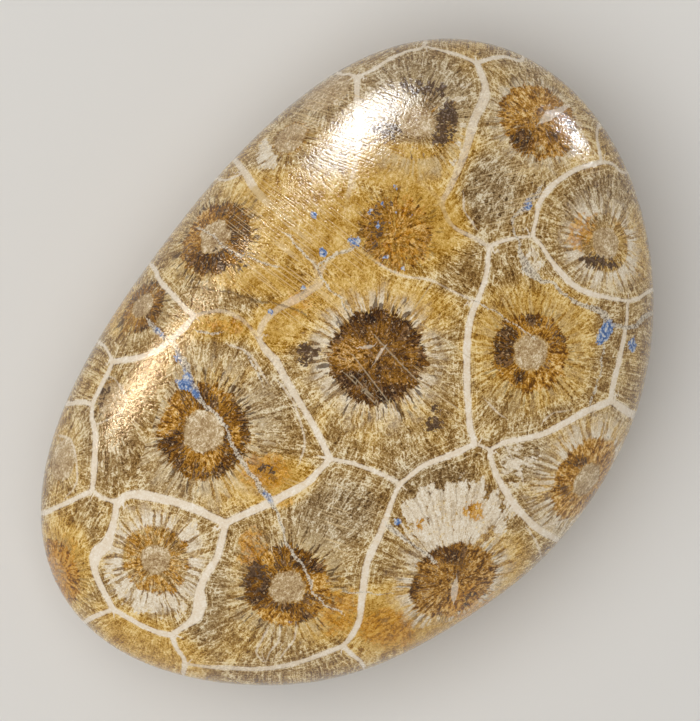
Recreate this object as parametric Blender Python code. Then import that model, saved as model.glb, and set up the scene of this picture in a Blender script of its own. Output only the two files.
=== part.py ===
"""Polished fossil coral stone: one smooth egg-shaped pebble, ground flat where it rests.

Metres, +Z up. The origin is the middle of the underside, on the surface the stone stands on, and the
long axis lies along X, with the broader end towards +X.
"""

from math import atan2, cos, hypot, pi, sin

import bmesh
import bpy
import numpy as np

NAME = "coral_stone"
COLLECTION = "fossil_coral_head"
MM = 0.001

# Driving dimensions, in millimetres.
LENGTH = 80.0
THICKNESS = 30.0
WAIST_HEIGHT = 14.5  # where the stone is widest, above the surface it stands on
GROUND_AWAY = 0.7  # how deep the resting flat cuts into the rounded underside
TOP_SQUARENESS = 2.3  # 2 is an ellipse in section, and more is flatter on top with a rounder edge
UNDER_SQUARENESS = 2.4
# The outline seen from above, as radii every 15 degrees, anticlockwise from +X.
PLAN_RADII = (
    39.2, 40.4, 39.0, 35.1, 31.1, 28.3, 27.3, 27.6, 29.6, 33.4, 37.6, 40.7,
    39.4, 36.5, 33.4, 30.6, 28.4, 27.5, 27.4, 28.1, 29.5, 31.3, 33.8, 36.4,
)
PLAN_WAVES = 8  # waves round the outline that are kept, so that the polished rim runs smooth
# The unevenness that hand polishing leaves on the face: height, run along X, run along Y, phase.
WAVES = ((0.22, 74.0, 98.0, 0.6), (0.16, 58.0, -47.0, 2.1))

# Mesh.
SEGMENTS_ROUND = 72
SEGMENTS_UP = 38
WELD = 1e-6

COLOUR = (0.52, 0.38, 0.21, 1.0)
ROUGHNESS = 0.2


def plan_radius(angle):
    """The outline's radius at an angle: the smooth closed curve by PLAN_RADII, as a Fourier sum."""
    waves = np.fft.rfft(PLAN_RADII)[: PLAN_WAVES + 1] / len(PLAN_RADII)
    turns = np.exp(1j * angle * np.arange(PLAN_WAVES + 1))
    return float(2 * (waves * turns).real.sum() - waves[0].real)


def unevenness(x, y):
    """Long shallow waves across the face."""
    return sum(high * sin(2 * pi * (x / along + y / across) + phase) for high, along, across, phase in WAVES)


def stone_point(direction):
    """Where a point of the unit sphere goes: the outline sets the plan, and superellipses the section."""
    angle = atan2(direction.y, direction.x)
    level = min(hypot(direction.x, direction.y), 1.0)
    rise = abs(direction.z)
    upper = direction.z > 0
    squareness = TOP_SQUARENESS if upper else UNDER_SQUARENESS
    depth = THICKNESS - WAIST_HEIGHT if upper else -(WAIST_HEIGHT + GROUND_AWAY)
    out = plan_radius(angle) * level ** (2 / squareness)
    x = out * cos(angle)
    y = out * sin(angle)
    crown = rise ** (2 / squareness)
    z = WAIST_HEIGHT + depth * crown
    if upper:
        z += unevenness(x, y) * crown**2
    return x, y, z


def stone_mesh():
    """A sphere reshaped into the stone, cut flat where it rests, and set to its exact length and place."""
    shape = bmesh.new()
    bmesh.ops.create_uvsphere(shape, u_segments=SEGMENTS_ROUND, v_segments=SEGMENTS_UP, radius=1.0)
    for vertex in shape.verts:
        vertex.co = stone_point(vertex.co)
    everything = shape.verts[:] + shape.edges[:] + shape.faces[:]
    cut = bmesh.ops.bisect_plane(
        shape, geom=everything, dist=WELD, plane_co=(0, 0, 0), plane_no=(0, 0, -1), clear_outer=True
    )
    rim = [piece for piece in cut["geom_cut"] if isinstance(piece, bmesh.types.BMEdge)]
    bmesh.ops.contextual_create(shape, geom=rim)
    bmesh.ops.recalc_face_normals(shape, faces=shape.faces)

    places = np.array([vertex.co for vertex in shape.verts])
    low = places.min(axis=0)
    high = places.max(axis=0)
    middle = (low + high) / 2
    stretch = LENGTH / (high[0] - low[0])
    rise = THICKNESS / high[2]
    for vertex in shape.verts:
        vertex.co.x = (vertex.co.x - middle[0]) * stretch * MM
        vertex.co.y = (vertex.co.y - middle[1]) * stretch * MM
        vertex.co.z *= rise * MM

    mesh = bpy.data.meshes.new(NAME)
    shape.to_mesh(mesh)
    shape.free()
    mesh.shade_smooth()
    mesh.set_sharp_from_angle(angle=pi / 5)
    return mesh


def polished_stone():
    """Tan and cream limestone with a high polish."""
    material = bpy.data.materials.new("polished_coral_stone")
    material.use_nodes = True
    shader = material.node_tree.nodes["Principled BSDF"]
    shader.inputs["Base Color"].default_value = COLOUR
    shader.inputs["Roughness"].default_value = ROUGHNESS
    shader.inputs["Metallic"].default_value = 0.0
    material.diffuse_color = COLOUR
    return material


def main():
    for old in list(bpy.data.objects):
        bpy.data.objects.remove(old)
    collection = bpy.data.collections.new(COLLECTION)
    bpy.context.scene.collection.children.link(collection)
    mesh = stone_mesh()
    mesh.materials.append(polished_stone())
    collection.objects.link(bpy.data.objects.new(NAME, mesh))


main()
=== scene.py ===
# %% [markdown]
# # A polished fossil coral stone
# The real object is one pebble, sawn from a head of fossil coral and polished until its cells show as
# flush drawing: pale walls, rayed calices, stains and hairline veins. Nothing stands proud, so the lesson
# is mostly about finding, for every point of a curved surface, where it lies in that drawing.
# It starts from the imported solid, which fixes the stone's size and place.

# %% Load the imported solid
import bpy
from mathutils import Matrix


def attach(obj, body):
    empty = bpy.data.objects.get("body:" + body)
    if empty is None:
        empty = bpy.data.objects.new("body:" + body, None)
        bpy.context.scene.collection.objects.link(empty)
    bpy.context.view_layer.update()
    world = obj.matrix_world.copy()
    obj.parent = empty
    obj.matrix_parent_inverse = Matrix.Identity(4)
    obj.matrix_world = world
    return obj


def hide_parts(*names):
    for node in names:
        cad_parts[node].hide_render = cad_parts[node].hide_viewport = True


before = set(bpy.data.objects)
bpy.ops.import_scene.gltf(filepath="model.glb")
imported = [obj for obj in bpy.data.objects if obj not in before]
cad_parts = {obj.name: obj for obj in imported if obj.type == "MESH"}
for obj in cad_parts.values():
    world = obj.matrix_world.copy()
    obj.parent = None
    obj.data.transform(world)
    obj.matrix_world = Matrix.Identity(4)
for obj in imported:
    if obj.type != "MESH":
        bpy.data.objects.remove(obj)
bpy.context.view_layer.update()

from functools import reduce
from math import radians

import bpy
import numpy as np
from mathutils import Vector

NODE = "coral_stone"
MM = 0.001

# %% [markdown]
# ## The stone's form
# A hand-polished pebble has no corner anywhere: seen from above it is an egg, and in section a slightly
# squared ellipse. It could be sculpted, or subdivided from a cage. A formula is used here, the same one
# as the solid's, because it answers the question that the drawing keeps asking: which point of the
# surface lies at this angle, this far out?

# %% The surface as a function of an angle and a fold
LENGTH = 80.0  # mm, as all lengths below unless they say otherwise
THICKNESS = 30.0
WAIST_HEIGHT = 14.5
GROUND_AWAY = 0.7
TOP_SQUARENESS = 2.3
UNDER_SQUARENESS = 2.4
PLAN_RADII = (
    39.2, 40.4, 39.0, 35.1, 31.1, 28.3, 27.3, 27.6, 29.6, 33.4, 37.6, 40.7,
    39.4, 36.5, 33.4, 30.6, 28.4, 27.5, 27.4, 28.1, 29.5, 31.3, 33.8, 36.4,
)
PLAN_WAVES = 8
WAVES = ((0.22, 74.0, 98.0, 0.6), (0.16, 58.0, -47.0, 2.1))


def raw_radius(angle):
    """The outline's radius at each angle: the mean radius plus eight cosine waves round the stone."""
    waves = np.fft.rfft(PLAN_RADII)[: PLAN_WAVES + 1] / len(PLAN_RADII)
    turns = np.exp(1j * np.multiply.outer(angle, np.arange(PLAN_WAVES + 1)))
    return 2 * (turns @ waves).real - waves[0].real


ROUND = np.linspace(-np.pi, np.pi, 721)
RAW_OUTLINE = raw_radius(ROUND)[:, None] * np.stack([np.cos(ROUND), np.sin(ROUND)], axis=1)
MIDDLE = (RAW_OUTLINE.min(axis=0) + RAW_OUTLINE.max(axis=0)) / 2
STRETCH = LENGTH / np.ptp(RAW_OUTLINE[:, 0])


def raw_surface(angle, fold):
    """Points before the stone is set to its exact size. Fold is 0 in the middle of the face, 1 at the waist
    and 2 in the middle of the underside. In section, (distance out)^n + (height from the waist)^n = 1,
    with n the squareness, and long low waves ride on the face."""
    upper = fold <= 1
    level = np.clip(np.where(upper, fold, 2 - fold), 0, 1)
    squareness = np.where(upper, TOP_SQUARENESS, UNDER_SQUARENESS)
    depth = np.where(upper, THICKNESS - WAIST_HEIGHT, -WAIST_HEIGHT - GROUND_AWAY)
    crown = (1 - level**squareness) ** (1 / squareness)
    out = raw_radius(angle) * level
    x = out * np.cos(angle)
    y = out * np.sin(angle)
    ripple = sum(
        high * np.sin(2 * np.pi * (x / along + y / across) + phase) for high, along, across, phase in WAVES
    )
    z = WAIST_HEIGHT + depth * crown + np.where(upper, ripple * crown**2, 0)
    return np.stack([x, y, np.maximum(z, 0)], axis=-1)


face = raw_surface(*np.meshgrid(ROUND, np.linspace(0, 0.5, 26)))
SIZING = np.array([STRETCH, STRETCH, THICKNESS / face[..., 2].max()])


def stone_surface(angle, fold):
    """Points of the stone, mm: the raw surface, centred and stretched to its length and thickness."""
    return (raw_surface(angle, fold) - (*MIDDLE, 0)) * SIZING


print("sizing along X, Y and Z:", SIZING.round(4).tolist())

# %% [markdown]
# ## The mesh
# Two square sheets share one rim: one is the face and one the underside. Each square is turned into a
# disc ring by ring, which keeps its cells nearly equal, and has no crowded pole as a globe would. Rings are
# spaced evenly along the section, so the steep edge is as finely covered as the face.

# %% Two sheets of a grid
RINGS = 110
SIDE = 2 * RINGS + 1


def even_folds(count, start, end):
    """Folds from start to end, spaced evenly by distance along the mean section."""
    trial = np.linspace(start, end, 2001)
    path = stone_surface(np.full_like(trial, 0.9), trial)
    run = np.concatenate([[0], np.cumsum(np.linalg.norm(np.diff(path, axis=0), axis=1))])
    return np.interp(np.linspace(0, run[-1], count), run, trial)


def square_to_disc(a, b):
    """(ring, angle) of a square grid's points: ring is the larger of |a| and |b|, and each side of the
    square is spread evenly over a quarter turn."""
    wide = np.abs(a) >= np.abs(b)
    with np.errstate(divide="ignore", invalid="ignore"):
        by_a = np.pi / 4 * b / a + np.where(a < 0, np.pi, 0)
        by_b = np.pi / 2 - np.pi / 4 * a / b + np.where(b < 0, np.pi, 0)
    angle = np.nan_to_num(np.where(wide, by_a, by_b))
    return np.maximum(np.abs(a), np.abs(b)), (angle + np.pi) % (2 * np.pi) - np.pi


steps = np.linspace(-1, 1, SIDE)
grid_a, grid_b = np.meshgrid(steps, steps, indexing="ij")
grid_ring, grid_angle = square_to_disc(grid_a, grid_b)
ring_steps = np.linspace(0, 1, RINGS + 1)
face_fold = np.interp(grid_ring, ring_steps, even_folds(RINGS + 1, 0, 1))
under_fold = np.interp(grid_ring, ring_steps, even_folds(RINGS + 1, 2, 1))

on_rim = np.zeros((SIDE, SIDE), bool)
on_rim[[0, -1], :] = True
on_rim[:, [0, -1]] = True
face_index = np.arange(SIDE * SIDE).reshape(SIDE, SIDE)
under_index = face_index.copy()
under_index[~on_rim] = SIDE * SIDE + np.arange((~on_rim).sum())
angle = np.concatenate([grid_angle.ravel(), grid_angle[~on_rim]])
fold = np.concatenate([face_fold.ravel(), under_fold[~on_rim]])
place = stone_surface(angle, fold)


def quads(index):
    """Four corners for every cell of a sheet, anticlockwise as seen from above."""
    corners = (index[:-1, :-1], index[1:, :-1], index[1:, 1:], index[:-1, 1:])
    return np.stack(corners, axis=-1).reshape(-1, 4)


faces = np.concatenate([quads(face_index), quads(under_index)[:, ::-1]])
print(f"{len(place)} points, {2 * len(faces)} triangles, spans {np.ptp(place, axis=0).round(2)} mm")

# %% [markdown]
# ## Overhead picture units
# The cells of a real coral follow no rule, so their walls and calices are placed one by one, in the units of
# a picture taken from straight above: x to the right, y down, 722.5 units to the stone's length. A spot
# outside the outline is folded round the edge and lies on the underside, so a wall that leaves the picture
# can be carried on down the side.

# %% Between picture units and the stone
PICTURE_SIZE = (700, 721)
PICTURE_UNIT = LENGTH / 722.5
PICTURE_TURN = radians(49)  # the stone's length points this far above the picture's right
STONE_MIDDLE = np.array([363.6, 387.4])
CAMERA_AWAY = 620.0  # above the waist
turn_cos, turn_sin = np.cos(PICTURE_TURN), np.sin(PICTURE_TURN)
TO_STONE = np.array([[turn_cos, -turn_sin], [-turn_sin, -turn_cos]])
camera_over = TO_STONE @ (np.array(PICTURE_SIZE) / 2 - STONE_MIDDLE) * PICTURE_UNIT


def overhead(angle, fold, place):
    """Picture units of points on the stone: straight lines to the camera above the waist, and beyond it
    the outline's own radius times how far the fold has gone past 1."""
    nearer = CAMERA_AWAY / (CAMERA_AWAY - np.where(fold <= 1, place[..., 2] - WAIST_HEIGHT, 0))
    rim = stone_surface(angle, np.minimum(fold, 1))[..., :2]
    level = np.where((fold <= 1)[..., None], place[..., :2], rim)
    seen = camera_over + (level - camera_over) * nearer[..., None]
    beyond = (np.maximum(fold, 1) - 1)[..., None] * rim
    return (seen + beyond) / PICTURE_UNIT @ TO_STONE + STONE_MIDDLE


def on_stone(spots):
    """(angle, fold) of picture spots, found by correcting a first guess by what is left over."""
    spots = np.asarray(spots, float)
    aim = (spots - STONE_MIDDLE) @ TO_STONE.T * PICTURE_UNIT
    guess = aim.copy()
    for _ in range(6):
        raw = guess / STRETCH + MIDDLE
        angle = np.arctan2(raw[..., 1], raw[..., 0])
        fold = np.linalg.norm(raw, axis=-1) / raw_radius(angle)
        there = overhead(angle, fold, stone_surface(angle, fold))
        guess += aim - (there - STONE_MIDDLE) @ TO_STONE.T * PICTURE_UNIT
    return angle, fold


def stone_points(spots):
    """The places on the stone, mm, under picture spots."""
    return stone_surface(*on_stone(spots))


picture = overhead(angle, fold, place)
check_spots = np.array([(100, 400), (350, 100), (470, 380), (655, 300), (30, 520)])
back = overhead(*on_stone(check_spots), stone_surface(*on_stone(check_spots)))
print("round trip error, picture units:", np.abs(back - check_spots).max().round(4))

# %% [markdown]
# ## The bare mesh
# The drawing needs to know which way each point faces, so the mesh is made now. Its object stays at the
# origin, unturned, with its place in its points, as every finished piece's does.

# %% The mesh and its normals
mesh = bpy.data.meshes.new("coral_stone_polished")
mesh.from_pydata(place * MM, [], faces)
mesh.shade_smooth()
stone = bpy.data.objects.new("coral_stone_polished", mesh)
bpy.context.scene.collection.objects.link(stone)

normal = np.empty(3 * len(place), np.float32)
mesh.vertex_normals.foreach_get("vector", normal)
normal = normal.reshape(-1, 3).astype(float)
outward = np.einsum("ij,ij->i", normal, place - (0, 0, WAIST_HEIGHT)) > 0
print("normals point outwards:", bool(outward.all()))

# %% [markdown]
# ## A flat layout for baking
# The drawing lives in the material, so a game or a web page would need it baked to a picture. That picture
# is laid out here as two flat discs, the face large and the underside small, instead of the scraps that an
# automatic unwrap would cut. The rings of the discs are as evenly spaced as the mesh's own.

# %% Two discs
# The middle and the half size of each disc. The underside's is mirrored, as it is seen from below.
LAYOUT = np.array(((0.5, 0.655, 0.49, 0.335), (0.24, 0.155, -0.22, 0.15)))
ring = np.concatenate([grid_ring.ravel(), grid_ring[~on_rim]])
disc = ring[:, None] * np.stack([np.cos(angle), np.sin(angle)], axis=1)
middle, half_size = np.split(LAYOUT[np.repeat((0, 1), len(faces) // 2)][:, None], 2, axis=2)
flat_layout = middle + disc[faces] * half_size
mesh.uv_layers.new(name="OFBake").data.foreach_set("uv", flat_layout.astype(np.float32).ravel())
print("layout spans", flat_layout.min(axis=(0, 1)).round(3), flat_layout.max(axis=(0, 1)).round(3))

# %% [markdown]
# ## Walls between the cells
# Each coral animal built a cup, and the cups grew against one another, so they share walls. On the polished
# face a wall is a cream line, 3 to 8 units wide, lumpy where two cups met badly, and it fades in the ochre
# stain. Each is a short list of spots with its width there. Where a wall ends in two numbers, they say how
# strongly its start and its end show.

# %% The walls, as (x, y, width) in picture units
WALLS = (
    # Around the upper left cell and the ochre stain.
    ((226, 143, 5), (237, 162, 6), (245, 173, 7), (255, 189, 8), (267, 202, 7), (280, 213, 6),
     (293, 223, 5), 1.0, 0.5),
    ((293, 223, 5), (303, 240, 5), (314, 262, 5), (320, 284, 6), 0.25, 0.2),
    ((208, 172, 3), (221, 180, 3), (230, 179, 3), (241, 174, 3), 1.0, 0.8),
    ((134, 254, 4), (153, 266, 4), (160, 281, 5), (171, 293, 5), (183, 306, 5), (194, 316, 5)),
    ((194, 316, 4), (208, 312, 4), (223, 311, 4), (240, 318, 4), (250, 328, 4), (258, 337, 5), 0.5, 0.25),
    ((258, 337, 5), (264, 322, 6), (278, 309, 7), (298, 298, 8), (320, 284, 7), 0.5, 0.45),
    ((320, 284, 3), (323, 268, 3), (334, 256, 3), (353, 246, 3), 0.3, 0.7),
    ((194, 316, 6), (185, 327, 7), (173, 338, 6), (158, 350, 6), (140, 357, 6), (125, 360, 6),
     (113, 362, 7)),
    ((113, 362, 4), (107, 350, 3), (100, 343, 4), (81, 340, 4)),
    ((113, 362, 5), (107, 375, 6), (99, 390, 6), (92, 404, 6)),
    ((92, 404, 5), (80, 402, 5), (68, 404, 5), (42, 405, 5)),
    ((92, 404, 5), (92, 417, 5), (95, 431, 6), (95, 452, 7), (94, 474, 7), (92, 491, 5)),
    ((92, 491, 4), (77, 498, 5), (60, 506, 5), (44, 513, 5), (24, 521, 5)),
    ((92, 491, 4), (103, 498, 4), (117, 502, 5)),
    # Around the white-rimmed cell at the lower left.
    ((117, 502, 6), (128, 495, 7), (143, 495, 10), (158, 498, 9), (175, 502, 8), (195, 509, 8),
     (212, 517, 8), (226, 523, 7)),
    ((117, 502, 7), (115, 516, 7), (111, 532, 8), (106, 545, 12), (96, 554, 13), (94, 567, 9), (99, 582, 8),
     (106, 596, 7), (113, 609, 7)),
    ((113, 609, 6), (128, 618, 6), (145, 627, 6), (160, 633, 7), (171, 635, 7)),
    ((113, 609, 5), (101, 614, 5), (88, 620, 5), (70, 636, 5)),
    ((171, 635, 6), (185, 626, 6), (196, 617, 11), (200, 603, 13), (200, 590, 9), (206, 575, 7),
     (216, 560, 7), (221, 544, 7), (226, 523, 7)),
    ((171, 635, 5), (177, 649, 5), (185, 663, 5), (178, 689, 5), 1.0, 0.8),
    # Across the middle.
    ((226, 523, 7), (243, 515, 7), (265, 505, 8), (287, 494, 8), (305, 484, 7), (318, 472, 6),
     (330, 459, 6)),
    ((258, 337, 5), (265, 349, 7), (276, 361, 8), (284, 376, 7), (295, 395, 7), (308, 416, 6),
     (319, 436, 6), (330, 459, 6), 0.7, 1.0),
    ((330, 459, 4), (347, 462, 4), (366, 468, 4), (384, 475, 4), (400, 484, 5), 0.9, 0.9),
    ((400, 484, 5), (410, 476, 5), (423, 466, 5), (440, 459, 6), (458, 452, 6), (475, 444, 5)),
    ((475, 444, 4), (482, 446, 3), (490, 450, 4), 0.9, 0.9),
    ((475, 444, 5), (470, 426, 6), (468, 405, 6), (467, 380, 7), (467, 355, 7), (468, 333, 7),
     (473, 311, 6), (481, 292, 5), (487, 271, 5), (489, 247, 4)),
    ((489, 247, 4), (475, 238, 4), (460, 231, 4), (449, 222, 4), (441, 203, 5), 0.7, 0.35),
    # Around the lower right cells.
    ((490, 450, 4), (505, 442, 5), (524, 439, 5), (543, 434, 6), (563, 424, 7), (587, 411, 7),
     (611, 401, 7)),
    ((611, 401, 6), (622, 408, 8), (634, 415, 8), (655, 416, 6)),
    ((490, 450, 4), (492, 463, 5), (499, 480, 6), (511, 500, 7), (525, 517, 7), (541, 531, 7),
     (556, 539, 6), (574, 552, 6), 0.9, 1.0),
    ((400, 484, 5), (393, 499, 5), (386, 518, 6), (377, 541, 7), (367, 563, 7), (363, 590, 7),
     (360, 616, 6), (354, 632, 6), (343, 646, 6)),
    ((343, 646, 4), (352, 655, 5), (363, 665, 4), (363, 689, 5)),
    ((343, 646, 6), (325, 653, 7), (303, 661, 7), (279, 667, 7), (255, 669, 7), (230, 668, 7),
     (208, 667, 6), (186, 664, 4), 1.0, 0.6),
    # Around the right-hand cells.
    ((611, 401, 6), (613, 385, 7), (619, 361, 7), (624, 337, 6), (627, 318, 4), (627, 301, 4)),
    ((627, 301, 3), (639, 298, 4), (651, 290, 4), (675, 282, 5)),
    ((627, 301, 3), (610, 298, 4), (592, 294, 5), (576, 287, 6), (563, 275, 6), (550, 259, 5),
     (541, 245, 4), (532, 236, 4)),
    ((532, 236, 3), (516, 238, 3), (502, 241, 4), (489, 247, 4), 0.95, 0.95),
    ((532, 236, 4), (536, 220, 4), (539, 204, 5), (548, 190, 6), (562, 178, 5), (580, 168, 5),
     (602, 162, 5)),
    ((602, 162, 4), (613, 164, 4), (625, 173, 4), (648, 161, 4), 0.9, 0.9),
    ((602, 162, 3), (599, 148, 4), (597, 130, 4), (607, 110, 4), 0.8, 0.8),
    # Around the top cells.
    ((441, 203, 5), (451, 185, 6), (462, 161, 7), (469, 140, 8), (475, 118, 9), (484, 100, 10),
     (485, 85, 8), (477, 63, 6), 0.35, 1.0),
    ((477, 63, 5), (461, 56, 5), (444, 51, 5), (424, 46, 4), 1.0, 0.9),
    ((477, 63, 5), (492, 58, 5), (508, 57, 5), (522, 60, 5), (531, 38, 5)),
    ((357, 77, 5), (372, 70, 5), (390, 59, 6), (407, 51, 5), (424, 46, 4), (428, 19, 5), 1.0, 0.9),
    ((357, 77, 4), (348, 74, 4), (338, 73, 4), (338, 50, 5)),
    ((357, 77, 6), (357, 98, 6), (359, 122, 6), (358, 150, 5), (352, 180, 5), (346, 210, 5), (353, 246, 5),
     1.0, 0.0),
    ((353, 246, 3), (367, 255, 3), (384, 267, 2), (404, 276, 2), (430, 280, 2), (452, 291, 2),
     (477, 302, 3), 0.5, 0.7),
    ((352, 180, 4), (375, 184, 4), (397, 188, 4), (414, 181, 4), (430, 190, 4), (441, 203, 4), 0.0, 0.1),
)

# %% Lines laid on the stone
LINE_STEP = 6.0  # picture units between the spots of a smoothed line
NO_LINE = 50.0  # mm: what stands for the distance where no line is near
NEVER = 1e6


def smooth_line(spots):
    """A Catmull-Rom curve through the spots in short steps. Between p1 and p2, with p0 and p3 beyond them, it
    is (2 p1 + (p2 - p0) u + (2 p0 - 5 p1 + 4 p2 - p3) u^2 + (3 p1 - p0 - 3 p2 + p3) u^3) / 2."""
    spots = np.asarray(spots, float)
    ends = np.concatenate([[2 * spots[0] - spots[1]], spots, [2 * spots[-1] - spots[-2]]])
    runs = []
    for p0, p1, p2, p3 in zip(ends, ends[1:], ends[2:], ends[3:]):
        count = int(np.ceil(np.hypot(*(p2 - p1)[:2]) / LINE_STEP))
        u = (np.arange(count) / count)[:, None]
        square = (2 * p0 - 5 * p1 + 4 * p2 - p3) * u**2
        cube = (3 * p1 - p0 - 3 * p2 + p3) * u**3
        runs.append((2 * p1 + (p2 - p0) * u + square + cube) / 2)
    return np.concatenate([*runs, spots[-1:]])


def with_strengths(line):
    """(x, y, width, strength) rows of a line, the strength running evenly between the values at its two ends.
    A line that gives none shows fully."""
    *spots, start, end = line if np.isscalar(line[-1]) else (*line, 1.0, 1.0)
    return np.column_stack([np.array(spots, float), np.linspace(start, end, len(spots))])


def nearest_line(lines, reach):
    """(signed distance, distance, half width, strength) of the nearest line at each mesh point, in mm.
    The sign says which side of the line a point is on: a line thinner than the mesh's own spacing still
    comes out whole when the signed distance is read between points."""
    nearest = np.full(len(place), NEVER)
    found = np.tile([NO_LINE, NO_LINE, 0.0, 0.0], (len(place), 1))
    for spots in lines:
        path = stone_points(spots[:, :2])
        near = np.flatnonzero(((place > path.min(0) - reach) & (place < path.max(0) + reach)).all(axis=1))
        start = path[:-1]
        run = np.diff(path, axis=0)
        offset = place[near][:, None] - start
        along = np.clip(np.einsum("ijk,jk->ij", offset, run) / (run**2).sum(axis=1), 0, 1)
        away = np.linalg.norm(offset - along[..., None] * run, axis=-1)
        best = away.argmin(axis=1)
        rows = np.arange(len(near))
        distance = away[rows, best]
        part = along[rows, best][:, None]
        half, strength = (spots[best, 2:] * (1 - part) + spots[best + 1, 2:] * part).T
        half = half / 2 * PICTURE_UNIT
        side = np.einsum("ij,ij->i", np.cross(run[best], offset[rows, best]), normal[near])
        closer = distance - half < nearest[near]
        chosen = near[closer]
        nearest[chosen] = (distance - half)[closer]
        signed = np.where(side < 0, -distance, distance)
        found[chosen] = np.stack([signed, distance, half, strength], axis=1)[closer]
    return found


def widened(spots, width):
    """(x, y, width, strength) rows of a line given as bare (x, y) spots, which shows fully."""
    return np.column_stack([spots, np.full((len(spots), 2), (width, 1.0))])


wall_lines = [smooth_line(with_strengths(wall)) for wall in WALLS]
print(len(wall_lines), "walls,", sum(len(line) for line in wall_lines), "spots")

# %% [markdown]
# ## The side and the underside
# The stone was cut from the middle of a head, so the network goes right round it. Walls that reach the edge
# run down the side to one ring of wall low on the side. Below that, cells are grown from listed seeds:
# a point belongs to its nearest seed, and a wall stands where two seeds are equally near.

# %% The ring of wall low on the side, and the seeds below it
SIDE_ENDS = (
    (428, 19), (531, 38), (607, 110), (648, 161), (675, 282), (655, 416), (574, 552), (363, 689), (178, 689),
    (70, 636), (24, 521), (42, 405), (81, 340), (134, 254), (226, 143), (338, 50),
)
LOOP_FOLDS = (1.11, 1.155)  # where a wall comes down to the ring, and midway between two walls
LOOP_SPOTS = 181
LOOP_WIDTH = 6.0
DROP_START = 1.03
DROP_SPOTS = 7
DROP_WIDTH = 5.5
end_angles, _ = on_stone(SIDE_ENDS)
end_angles = np.sort(end_angles)
mid_angles = end_angles + np.diff(end_angles, append=end_angles[0] + 2 * np.pi) / 2
loop_angles = np.concatenate([end_angles, mid_angles])
loop_heights = np.repeat(LOOP_FOLDS, len(end_angles))
order = np.argsort(loop_angles)
loop_angles, loop_heights = loop_angles[order], loop_heights[order]


def loop_fold(angle):
    """How far down the side the ring of wall is, at each angle."""
    return np.interp(angle, loop_angles, loop_heights, period=2 * np.pi)


def flat_spots(angle, fold):
    """Picture units of points given by angle and fold."""
    return overhead(angle, fold, stone_surface(angle, fold))


loop_round = np.linspace(-np.pi, np.pi, LOOP_SPOTS)
loop_line = widened(flat_spots(loop_round, loop_fold(loop_round)), LOOP_WIDTH)
side_lines = []
for end_angle in end_angles:
    folds = np.linspace(DROP_START, loop_fold(end_angle), DROP_SPOTS)
    sway = 0.03 * np.sin(9 * end_angle) * (folds - DROP_START) / 0.1
    side_lines.append(widened(flat_spots(end_angle + sway, folds), DROP_WIDTH))

# Plan positions, mm.
UNDER_SEEDS = (
    (-27, 3), (-24, -13), (-10, -19), (6, -18), (20, -15), (30, -2), (24, 12), (9, 20), (-8, 20), (-23, 17),
    (-10, 1), (5, -2), (17, 3), (-1, 9),
)
print(len(end_angles), "walls reach the side, and", len(UNDER_SEEDS), "cells lie below the ring")

# %% Distances to the walls, everywhere
def under_points(seeds):
    """Places on the underside, mm, with these plan positions."""
    seeds = np.asarray(seeds, float)
    raw = seeds / STRETCH + MIDDLE
    turn = np.arctan2(raw[:, 1], raw[:, 0])
    return stone_surface(turn, 2 - np.linalg.norm(raw, axis=1) / raw_radius(turn))


def seed_walls(points, seeds):
    """(nearest seed, signed distance to the wall) of points among seeds. Halfway between two seeds the
    distance is 0; elsewhere it is (d2^2 - d1^2) / (2 x their gap), signed by the order of the two."""
    away = np.linalg.norm(points[:, None] - seeds, axis=-1)
    first, second = np.argsort(away, axis=1)[:, :2].T
    low, high = np.minimum(first, second), np.maximum(first, second)
    rows = np.arange(len(points))
    gap = np.linalg.norm(seeds[low] - seeds[high], axis=1)
    return first, (away[rows, high] ** 2 - away[rows, low] ** 2) / (2 * gap)


WALL_WIDTH = LOOP_WIDTH * PICTURE_UNIT
WALL_REACH = 9.0
bend = 0.9 * np.stack([np.sin(place[:, 1] / 2.9), np.sin(place[:, 0] / 3.3 + 1), 0 * angle], axis=1)
under_places = under_points(UNDER_SEEDS)
below = fold > loop_fold(angle)
under_cell, under_gap = seed_walls(place + bend, under_places)

walls = nearest_line([*wall_lines, *side_lines, loop_line], WALL_REACH)
under_wins = below & (np.abs(under_gap) - WALL_WIDTH / 2 < walls[:, 1] - walls[:, 2])
under_wall = np.stack([under_gap, np.abs(under_gap), 0 * angle + WALL_WIDTH / 2, 0 * angle + 1], axis=1)
walls[under_wins] = under_wall[under_wins]
print(f"{np.mean(walls[:, 1] < walls[:, 2]):.1%} of the points lie in a wall")

# %% [markdown]
# ## Calices
# In the middle of each cell the animal's cup shows as a dark, toothed ring round a paler core, with fine rays
# running from it out to the wall. They are given one by one: where the core is, how big the ring is, and how
# much dark, orange and white it shows. A point belongs to the nearest core that it can see without
# looking through a wall.

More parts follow.
